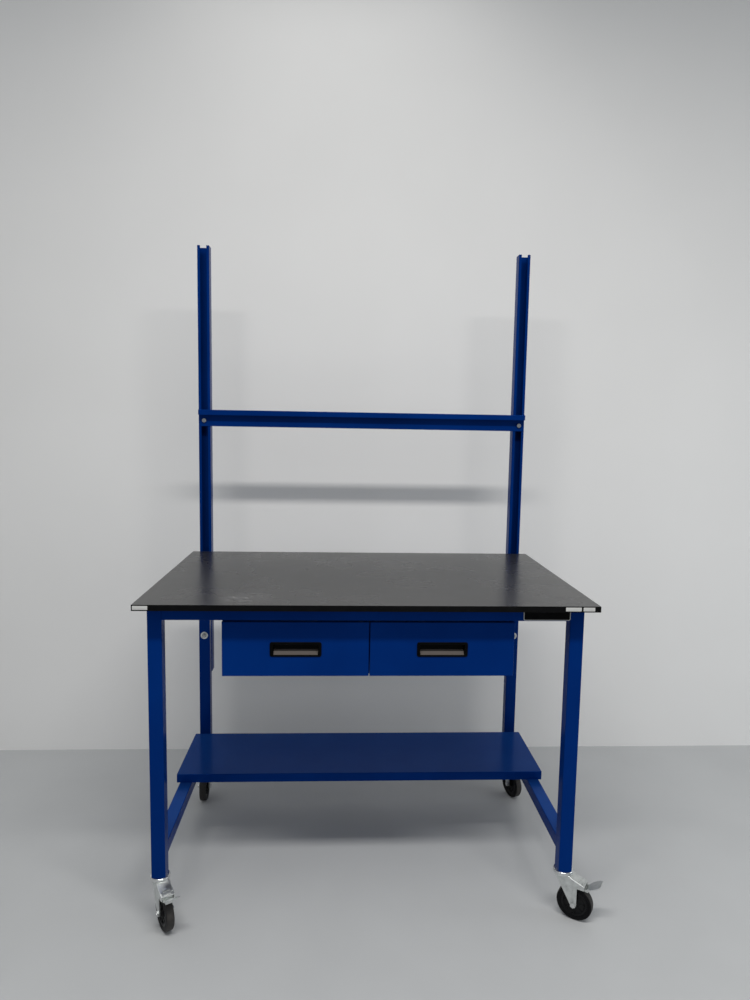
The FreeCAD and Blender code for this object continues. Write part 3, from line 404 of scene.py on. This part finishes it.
def mirrored(half):
    """A whole section from its half on one side of the middle plane, which it may touch."""
    other = half[:-1] if half[-1][1] == 0.0 else half
    return half + [(radius, -height) for radius, height in reversed(other)]


def rounded_rectangle(x0, x1, z0, z1, radius, steps=6):
    """Points round a rectangle in a plane, counter-clockwise from the lower right."""
    points = []
    corners = ((x1 - radius, z0 + radius, -90), (x1 - radius, z1 - radius, 0),
               (x0 + radius, z1 - radius, 90), (x0 + radius, z0 + radius, 180))
    for x, z, start in corners:
        for i in range(steps + 1):
            t = math.radians(start + 90 * i / steps)
            points.append((x + radius * math.cos(t), z + radius * math.sin(t)))
    return points


def bevelled(node, name, body, material, width):
    """A copy of a hard CAD part with its sharp edges broken, as pressing or plating leaves them."""
    form = bmesh.new()
    form.from_mesh(NODES[node].data)
    merge_points(form, COARSE)
    bmesh.ops.dissolve_limit(form, angle_limit=math.radians(0.6), verts=form.verts,
                             edges=form.edges)
    piece = piece_from(name, form, body, [material], (node,), PRESSED_SHARP)
    edge = piece.modifiers.new("edge", "BEVEL")
    edge.width = width
    edge.segments = 2
    edge.limit_method = "ANGLE"
    edge.angle_limit = math.radians(PRESSED_SHARP)
    edge.harden_normals = True


# --- Worktop ---

TOP_EDGE = 0.0008
TOP_CORNER = TOP_EDGE * 1.5
# The flat faces start a little inside the rounded edge, which keeps their normals flat.
FLAT_START = 0.0011


def make_worktop():
    """Worktop: laminate faces above and below, and the core's black edge with broken corners."""
    low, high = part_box("tabletop")

    def ring(inset, z):
        points = rounded_rectangle(low.x + inset, high.x - inset, low.y + inset, high.y - inset,
                                   TOP_CORNER - inset, 3)
        return [Vector((x, y, z)) for x, y in points]

    arc = [(TOP_EDGE * (1 - math.cos(t)), TOP_EDGE * (1 - math.sin(t))) for t in quarter_turn(3)]
    lower = [ring(FLAT_START, low.z)] + [ring(inset, low.z + up) for inset, up in arc[::-1]]
    upper = [ring(inset, high.z - down) for inset, down in arc] + [ring(FLAT_START, high.z)]
    form = bmesh.new()
    loft(form, lower + upper, material=1)
    cover(form, reversed(lower[0]))
    cover(form, upper[-1])
    merge_points(form)
    piece_from("worktop", form, "bench", [CHARCOAL, CORE], ("tabletop",))


# --- Drawer pulls ---

PULL_PROUD = 0.002
PULL_CORNER = 0.0060
PULL_EDGE = 0.0012
PULL_BACK_WALL = 0.0002

# The mouth's margins inside the bezel, its rolled edge and its corners.
MOUTH_SIDE = 0.0085
MOUTH_LOW = 0.0055
MOUTH_HIGH = 0.0070
MOUTH_EDGE = 0.0012
MOUTH_CORNER = 0.0022

# The cup behind the mouth: how far its floor ramps up, and how far its other walls draw in.
CUP_RISE = 0.0108
CUP_DRAFT = 0.0003
CUP_STEPS = 5

# The painted light on the ramp, a paler colour, stops short of the ramp's ends, and takes in the faces up to just
# above it.
LIT_RAMP_INSET = 0.0015
LIT_RAMP_ABOVE = 0.001

# The back of the moulding: its margins at the sides, below and above, and its corners.
SHELL_FOOT = (0.0040, 0.0035, 0.0035)
SHELL_END = (0.0060, 0.0045, 0.0045)
SHELL_CORNER = 0.003


def make_pull(side):
    """Recessed pull: a rounded bezel, a finger cup, and painted light on its ramp along its lower half: a paler
    colour where the ramp faces up.
    """
    low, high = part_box(f"drawer_pull_{side}")
    front = low.y
    seat = front + PULL_PROUD
    mouth = front + MOUTH_EDGE
    depth = high.y - PULL_BACK_WALL - front - MOUTH_EDGE

    def ring(y, x_in, low_in, high_in, radius):
        points = rounded_rectangle(low.x + x_in, high.x - x_in, low.z + low_in, high.z - high_in,
                                   radius)
        return [Vector((x, y, z)) for x, z in points]

    bezel = [ring(seat, 0, 0, 0, PULL_CORNER)]
    for turn in quarter_turn(3):
        inset = PULL_EDGE * (1 - math.cos(turn))
        y = front + PULL_EDGE * (1 - math.sin(turn))
        bezel.append(ring(y, inset, inset, inset, PULL_CORNER - inset / 2))
    for turn in quarter_turn(3):
        flare = MOUTH_EDGE * (1 - math.sin(turn))
        y = front + MOUTH_EDGE * (1 - math.cos(turn))
        bezel.append(ring(y, MOUTH_SIDE - flare, MOUTH_LOW - flare, MOUTH_HIGH - flare,
                          MOUTH_CORNER + flare / 2))
    form = bmesh.new()
    loft(form, bezel)

    cup = []
    for i in range(CUP_STEPS + 1):
        share = i / CUP_STEPS
        draft = CUP_DRAFT * share
        cup.append(ring(mouth + depth * share, MOUTH_SIDE + draft, MOUTH_LOW + CUP_RISE * share,
                        MOUTH_HIGH + draft, MOUTH_CORNER))
    centre = (low.x + high.x) / 2
    reach = (high.x - low.x) / 2 - MOUTH_SIDE - LIT_RAMP_INSET
    ramp_top = low.z + MOUTH_LOW + CUP_RISE + LIT_RAMP_ABOVE
    for face in loft(form, cup):
        face.normal_update()
        middle = face.calc_center_median()
        # Faces that look up, low in the cup, take the paler colour: painted light on the ramp.
        on_ramp = abs(face.normal.z) > 0.5 and middle.z < ramp_top
        if on_ramp and abs(middle.x - centre) < reach:
            face.material_index = 1
    cover(form, cup[-1])

    shell = [ring(seat, 0, 0, 0, PULL_CORNER), ring(seat, *SHELL_FOOT, SHELL_CORNER),
             ring(high.y, *SHELL_END, SHELL_CORNER)]
    loft(form, shell)
    cover(form, shell[-1])
    merge_points(form)
    piece_from(f"pull_{side}", form, f"drawer_{side}", [PULL, LIT_RAMP],
               (f"drawer_pull_{side}",))


# --- Plate and labels ---

PLATE_CORNER = 0.005
PLATE_CHAMFER = 0.0004
PLATE_BORDER = 0.0017
PLATE_RECESS = 0.0003

LABEL_SPANS = ((-0.6065, -0.5680), (0.5150, 0.5570), (0.5620, 0.5930))
LABEL_LOW = 0.9015
LABEL_HIGH = 0.9118
LABEL_THICK = 0.00025
LABEL_CORNER = 0.0012
LABEL_EDGE = 0.0002
LABEL_SUNK = 0.00005


def make_plate():
    """Blank name plate: a black face inside a thin raised light border."""
    low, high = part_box("name_plate")

    def ring(inset, y):
        points = rounded_rectangle(low.x + inset, high.x - inset, low.z + inset, high.z - inset,
                                   PLATE_CORNER - inset * 0.8, 8)
        return [Vector((x, y, z)) for x, z in points]

    rim = [ring(0, high.y), ring(0, low.y + PLATE_CHAMFER), ring(PLATE_CHAMFER, low.y),
           ring(PLATE_CHAMFER + PLATE_BORDER, low.y),
           ring(PLATE_CHAMFER + PLATE_BORDER * 1.2, low.y + PLATE_RECESS)]
    form = bmesh.new()
    loft(form, rim[:2])
    loft(form, rim[1:4], material=1)
    loft(form, rim[3:])
    cover(form, rim[-1])
    cover(form, reversed(rim[0]))
    merge_points(form)
    piece_from("name_plate_blank", form, "bench", [PLATE, PLATE_EDGE],
               ("name_plate",))


def make_label(name, x0, x1):
    """A small blank label stuck on the worktop's front edge."""
    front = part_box("tabletop")[0].y

    def ring(inset, y):
        points = rounded_rectangle(x0 + inset, x1 - inset, LABEL_LOW + inset, LABEL_HIGH - inset,
                                   LABEL_CORNER - inset, 4)
        return [Vector((x, y, z)) for x, z in points]

    rings = [ring(0, front + LABEL_SUNK), ring(0, front - LABEL_THICK * 0.7),
             ring(LABEL_EDGE, front - LABEL_THICK)]
    form = bmesh.new()
    loft(form, rings, caps=(True, True))
    piece_from(name, form, "bench", [LABEL])


# --- Fasteners on show ---

WASHER_RADIUS = 0.01325
WASHER_THICK = 0.0018
HEAD_FLATS = 0.0143
HEAD_HEIGHT = 0.0064
# Where a corner of each head points, a little off the level.
HEAD_ACROSS = (1, 0, 0.2)
BOLT_RADIUS = 0.00475
THREAD_PITCH = 0.0016
THREAD_LENGTH = 0.022
# A bolt longer than LONG_BOLT has a plain shank before its thread, and a short one only a neck.
LONG_BOLT = 0.030
NECK = 0.004


def hexagon(flats, limit=math.inf, steps=6):
    """Points round a hexagon, with no point past a radius, where one is given."""
    points = []
    for i in range(6 * steps):
        t = 2 * math.pi * i / (6 * steps)
        from_flat = (t + math.pi / 6) % (math.pi / 3) - math.pi / 6
        radius = min(flats / 2 / math.cos(from_flat), limit)
        points.append((radius * math.cos(t), radius * math.sin(t)))
    return points


def hex_head(form, place, flats, height, material):
    """A hexagon head on a round washer face, with its top corners turned off to a cone."""
    middle = flats / 2
    corner = flats / math.sqrt(3)
    rows = (
        (hexagon(flats, middle * 0.97), 0.0),
        (hexagon(flats), height * 0.04),
        (hexagon(flats), height * 0.80),
        (hexagon(flats, corner * 0.96), height * 0.90),
        (hexagon(flats, middle * 1.02), height * 0.985),
        (hexagon(flats, middle * 0.94), height),
    )
    rings = [[place @ Vector((x, y, z)) for x, y in points] for points, z in rows]
    loft(form, rings, material, caps=(True, True))


def washer(form, place, thick):
    """Washer with its outer edge rounded by the punch."""
    edge = thick * 0.35
    lathe(form, place, [(WASHER_RADIUS - edge * 0.3, 0.0), (WASHER_RADIUS, edge),
                        (WASHER_RADIUS, thick - edge), (WASHER_RADIUS - edge, thick)], 48)


def thread(form, place, start, end):
    """A shank whose end has turned ridges from start to end."""
    shank, root, tip = BOLT_RADIUS * 0.99, BOLT_RADIUS * 0.90, BOLT_RADIUS * 0.80
    rows = [(shank, 0.0), (shank, start)]
    height = start
    while height + THREAD_PITCH < end:
        rows.append((root, height + THREAD_PITCH * 0.5))
        rows.append((BOLT_RADIUS, height + THREAD_PITCH))
        height += THREAD_PITCH
    rows.append((tip, end))
    lathe(form, place, rows, 24)


def node_clusters(node):
    """Where the separate solids of a node are: each one's box, from left to right."""
    form = bmesh.new()
    form.from_mesh(NODES[node].data)
    merge_points(form, COARSE)
    left = set(form.verts)
    boxes = []
    while left:
        seed = left.pop()
        group = {seed}
        frontier = [seed]
        while frontier:
            vert = frontier.pop()
            for link in vert.link_edges:
                other = link.other_vert(vert)
                if other in left:
                    left.remove(other)
                    group.add(other)
                    frontier.append(other)
        low = Vector(map(min, zip(*(v.co for v in group))))
        high = Vector(map(max, zip(*(v.co for v in group))))
        boxes.append((low, high))
    form.free()
    return sorted(boxes, key=lambda box: tuple(box[0]))


def make_bolts(node, name, seat):
    """Hexagon bolts through the frame, each against the paint or on a washer as thick as its seat."""
    form = bmesh.new()
    for low, high in node_clusters(node):
        # The washers are solids of their own in the node.
        if high.y - low.y < HEAD_HEIGHT:
            continue
        centre = (low + high) / 2
        under_head = low.y + HEAD_HEIGHT + seat
        face = (centre.x, under_head, centre.z)
        outward = frame_at(face, (0, -1, 0), HEAD_ACROSS)
        if seat:
            washer(form, outward, seat)
        hex_head(form, outward @ Matrix.Translation((0, 0, seat)), HEAD_FLATS, HEAD_HEIGHT, 1)
        length = high.y - under_head
        start = length - THREAD_LENGTH if length > LONG_BOLT else NECK
        thread(form, frame_at(face, (0, 1, 0), (1, 0, 0)), start, length)
    piece_from(name, form, "bench", [ZINC, BOLT_ZINC], (node,), TURNED_SHARP)


# --- Casters ---

WHEEL_RADIUS = 0.050
WHEEL_HALF = 0.0115
WHEEL_STEPS = 96
RIM_RADIUS = 0.037
SHOULDER = 0.0035
TREAD_START = 0.0484
# Radius, and depth below the wheel's side, from the rim out over the tyre's groove.
TYRE_SIDE_ROWS = (
    (RIM_RADIUS, 0.0010), (RIM_RADIUS + 0.0006, 0.0), (0.0405, 0.0), (0.0409, 0.0008),
    (0.0417, 0.0008), (0.0421, 0.0001), (0.0442, 0.0002),
)

HUB_BORE = 0.0051
BOSS_HALF = 0.0152
# Radius, and depth below the wheel's side, from the boss out over the web to the rim.
HUB_ROWS = (
    (0.0105, 0.0), (0.0120, 0.0012), (0.0126, 0.0040), (0.0285, 0.0052), (0.0300, 0.0040),
    (0.0312, 0.0014), (0.0325, 0.0011), (0.0362, 0.0011), (RIM_RADIUS - 0.0001, 0.0016),
)
RIB_COUNT = 8
RIB_FOOT = 0.0056
# Radius, half width, and depth below the wheel's side, along a rib.
RIB_ROWS = ((0.0112, 0.0016, 0.0020), (0.0210, 0.0012, 0.0030), (0.0306, 0.0014, 0.0022))


def wheel_place(corner):
    """Centre of a wheel, with its local Z along the axle."""
    roll = next(j for j in frame["joints"] if j["name"] == f"caster_{corner}_roll")
    return frame_at(roll["pos_m"], roll["axis"], (0, 0, 1))


def tyre_half():
    """Half of the tyre's section, from the rim out over the shoulder to the flat tread."""
    rows = [(radius, WHEEL_HALF - depth) for radius, depth in TYRE_SIDE_ROWS]
    for turn in quarter_turn(5):
        rows.append((WHEEL_RADIUS - 0.0002 - SHOULDER * (1 - math.sin(turn)),
                     WHEEL_HALF - 0.0004 - SHOULDER * (1 - math.cos(turn))))
    return rows + [(WHEEL_RADIUS - 0.00005, WHEEL_HALF / 2 - 0.0010), (WHEEL_RADIUS, 0.0)]


def make_tyre(corner):
    """Tyre with a grooved side, a round shoulder and a paler, dusty tread."""
    place = wheel_place(corner)
    form = bmesh.new()
    faces = lathe(form, place, mirrored(tyre_half()), WHEEL_STEPS, hollow=True)
    centre = place.translation
    axis = place.to_3x3() @ Vector((0, 0, 1))
    for face in faces:
        arm = face.calc_center_median() - centre
        radius = (arm - axis * arm.dot(axis)).length
        face.material_index = 1 if radius > TREAD_START else 0
    piece_from(f"tyre_{corner}", form, f"wheel_{corner}", [TYRE_SIDE, TREAD],
               (f"caster_{corner}_tyre",))


def make_hub(corner):
    """Wheel core with a web between ribs, a grooved rim and a stepped boss."""
    place = wheel_place(corner)
    half = [(HUB_BORE, BOSS_HALF), (0.0095, BOSS_HALF), (0.0100, BOSS_HALF - 0.0005)]
    half += [(radius, WHEEL_HALF - depth) for radius, depth in HUB_ROWS]
    form = bmesh.new()
    lathe(form, place, mirrored(half), WHEEL_STEPS, hollow=True)
    foot = WHEEL_HALF - RIB_FOOT
    for side in (-1, 1):
        for i in range(RIB_COUNT):
            turn = place @ Matrix.Rotation(2 * math.pi * i / RIB_COUNT, 4, "Z")
            rings = []
            for x, wide, depth in RIB_ROWS:
                top = WHEEL_HALF - depth
                section = ((-wide, foot), (-wide * 0.6, top), (wide * 0.6, top), (wide, foot))
                rings.append([turn @ Vector((x, y, side * z)) for y, z in section])
            loft(form, rings, caps=(True, True))
    piece_from(f"hub_{corner}", form, f"wheel_{corner}", [HUB],
               (f"caster_{corner}_hub",), MOULDED_SHARP)


def make_casters():
    """Each caster's wheel and plated parts, and the races that stay under the legs."""
    for corner in CORNERS:
        make_tyre(corner)
        make_hub(corner)
        body = f"swivel_{corner}"
        bevelled(f"caster_{corner}_fork", f"fork_{corner}", body, ZINC, 0.0007)
        bevelled(f"caster_{corner}_axle", f"axle_{corner}", body, BRIGHT_ZINC, 0.0005)
        bevelled(f"caster_{corner}_pedal", f"pedal_{corner}", f"pedal_{corner}", ZINC, 0.0007)
    bevelled("caster_stems", "caster_races", "bench", BRIGHT_ZINC, 0.0006)


# --- Welds ---

WELD_RADIUS = 0.0015
WELD_INSET = 0.004
WELD_STEP = 0.0011
WELD_SIDES = 10
RIPPLE_PITCH = 0.0030
RIPPLE_HEIGHT = 0.13
# A run swells from END_SIZE to its full size over its first part, and shrinks over its last.
END_SIZE = 0.25
END_SLOPE = 9


def weld(form, start, end):
    """A short run of overlapping weld ripples along an inside corner."""
    start, end = Vector(start), Vector(end)
    length = (end - start).length
    place = frame_at(start, end - start)
    count = max(8, round(length / WELD_STEP))
    rings = []
    for i in range(count + 1):
        share = i / count
        taper = min(1.0, share * END_SLOPE + END_SIZE, (1 - share) * END_SLOPE + END_SIZE)
        ripple = 1 + RIPPLE_HEIGHT * math.cos(2 * math.pi * length * share / RIPPLE_PITCH)
        points = circle(WELD_RADIUS * taper * ripple, WELD_SIDES)
        rings.append([place @ Vector((x, y, length * share)) for x, y in points])
    loft(form, rings, caps=(True, True))


def make_welds():
    """Weld runs where the aprons and stretchers meet the legs."""
    form = bmesh.new()
    for side in SIDES:
        for rail in (f"stretcher_{side}", f"apron_{side}"):
            low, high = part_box(rail)
            heights = (low.z, high.z) if rail.startswith("stretcher") else (low.z,)
            for y in (low.y, high.y):
                for z in heights:
                    weld(form, (low.x + WELD_INSET, y, z), (high.x - WELD_INSET, y, z))
    for end in ("front", "rear"):
        low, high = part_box(f"apron_{end}")
        for x in (low.x, high.x):
            weld(form, (x, low.y + WELD_INSET, low.z), (x, high.y - WELD_INSET, low.z))
    piece_from("frame_welds", form, "bench", [BLUE], sharp=WELD_SHARP)


# --- Stage, light and camera ---

FLOOR_REACH = 7.0
WALL_Y = 0.70
WALL_HIGH = 3.6
WARM = (1.0, 0.985, 0.96)
COOL = (0.93, 0.97, 1.0)
ROOM = (0.93, 0.965, 1.0)
ROOM_STRENGTH = 0.40

# The photograph's camera: its place, its right and up axes, and its lens on a sensor of that width.
CAMERA_PLACE = (-0.0821, -2.1728, 1.3781)
CAMERA_RIGHT = (0.99865, -0.04917, 0.0169)
CAMERA_UP = (-0.01158, 0.10652, 0.99424)
CAMERA_LENS = 25.157
CAMERA_SENSOR = 36.0


def stage_plane(name, corners, paint):
    """A four-cornered surface of the room round the bench."""
    mesh = bpy.data.meshes.new(name)
    mesh.from_pydata(corners, [], [(0, 1, 2, 3)])
    mesh.materials.append(paint)
    plane = bpy.data.objects.new(name, mesh)
    bpy.context.scene.collection.objects.link(plane)


def clear_from_behind(material):
    """Makes a one-sided surface, which doesn't hide the bench from behind."""
    tree = material.node_tree
    geometry = tree.nodes.new("ShaderNodeNewGeometry")
    clear = tree.nodes.new("ShaderNodeBsdfTransparent")
    either = tree.nodes.new("ShaderNodeMixShader")
    tree.links.new(geometry.outputs["Backfacing"], either.inputs["Fac"])
    tree.links.new(tree.nodes["Principled BSDF"].outputs["BSDF"], either.inputs[1])
    tree.links.new(clear.outputs["BSDF"], either.inputs[2])
    tree.links.new(either.outputs["Shader"], tree.nodes["Material Output"].inputs["Surface"])


def make_stage():
    """Plain pale floor and a plain pale wall that is only there from its front."""
    floor_paint = stage_paint("stage_floor", (0.47, 0.48, 0.485), (0.50, 0.51, 0.515), 0.55,
                              0.05, 300.0)
    wall_paint = stage_paint("stage_wall", (0.80, 0.795, 0.785), (0.82, 0.815, 0.805), 0.75,
                             0.04, 160.0)
    clear_from_behind(wall_paint)
    r = FLOOR_REACH
    stage_plane("stage_floor", ((-r, -r, 0), (r, -r, 0), (r, r, 0), (-r, r, 0)), floor_paint)
    stage_plane("stage_wall", ((-r, WALL_Y, 0), (r, WALL_Y, 0), (r, WALL_Y, WALL_HIGH),
                               (-r, WALL_Y, WALL_HIGH)), wall_paint)


def area_light(name, place, target, size, power, colour):
    """A rectangular lamp that points at a target."""
    data = bpy.data.lights.new(name, "AREA")
    data.shape = "RECTANGLE"
    data.size, data.size_y = size
    data.energy = power
    data.color = colour
    lamp = bpy.data.objects.new(name, data)
    lamp.location = place
    lamp.rotation_euler = (Vector(target) - Vector(place)).to_track_quat("-Z", "Y").to_euler()
    bpy.context.scene.collection.objects.link(lamp)


def make_light():
    """A long soft ceiling light in front, one near the wall, a low one at the right, and the room."""
    area_light("front_ceiling", (0.1, -1.62, 3.10), (0.1, -1.50, 0.0), (2.6, 0.20), 68.0, WARM)
    area_light("wall_ceiling", (-0.15, 0.25, 3.20), (-0.15, 0.35, 0.0), (1.2, 0.30), 2.6, WARM)
    area_light("side_window", (3.30, -0.80, 0.90), (0.40, 0.0, 0.25), (1.0, 1.0), 11.0, COOL)
    world = bpy.data.worlds.new("room")
    world.use_nodes = True
    background = world.node_tree.nodes["Background"]
    background.inputs["Color"].default_value = (*ROOM, 1.0)
    background.inputs["Strength"].default_value = ROOM_STRENGTH
    bpy.context.scene.world = world


def make_camera():
    """The camera of the photograph, with its axes squared up."""
    data = bpy.data.cameras.new("camera")
    data.sensor_width = CAMERA_SENSOR
    data.lens = CAMERA_LENS
    data.clip_start = 0.05
    camera = bpy.data.objects.new("camera", data)
    right = Vector(CAMERA_RIGHT).normalized()
    back = Vector(CAMERA_RIGHT).cross(Vector(CAMERA_UP)).normalized()
    up = back.cross(right)
    turn = Matrix((right, up, back)).transposed().to_4x4()
    camera.matrix_world = Matrix.Translation(CAMERA_PLACE) @ turn
    bpy.context.scene.collection.objects.link(camera)
    bpy.context.scene.camera = camera


bpy.context.scene.view_settings.view_transform = "Standard"
dress_nodes()
make_worktop()
for drawer_side in SIDES:
    make_pull(drawer_side)
make_plate()
for number, span in enumerate(LABEL_SPANS, 1):
    make_label(f"edge_label_{number}", *span)
make_bolts("upright_bolts", "leg_bolts", WASHER_THICK)
make_bolts("ledge_bolts", "rail_bolts", 0.0)
make_casters()
make_welds()
make_stage()
make_light()
make_camera()
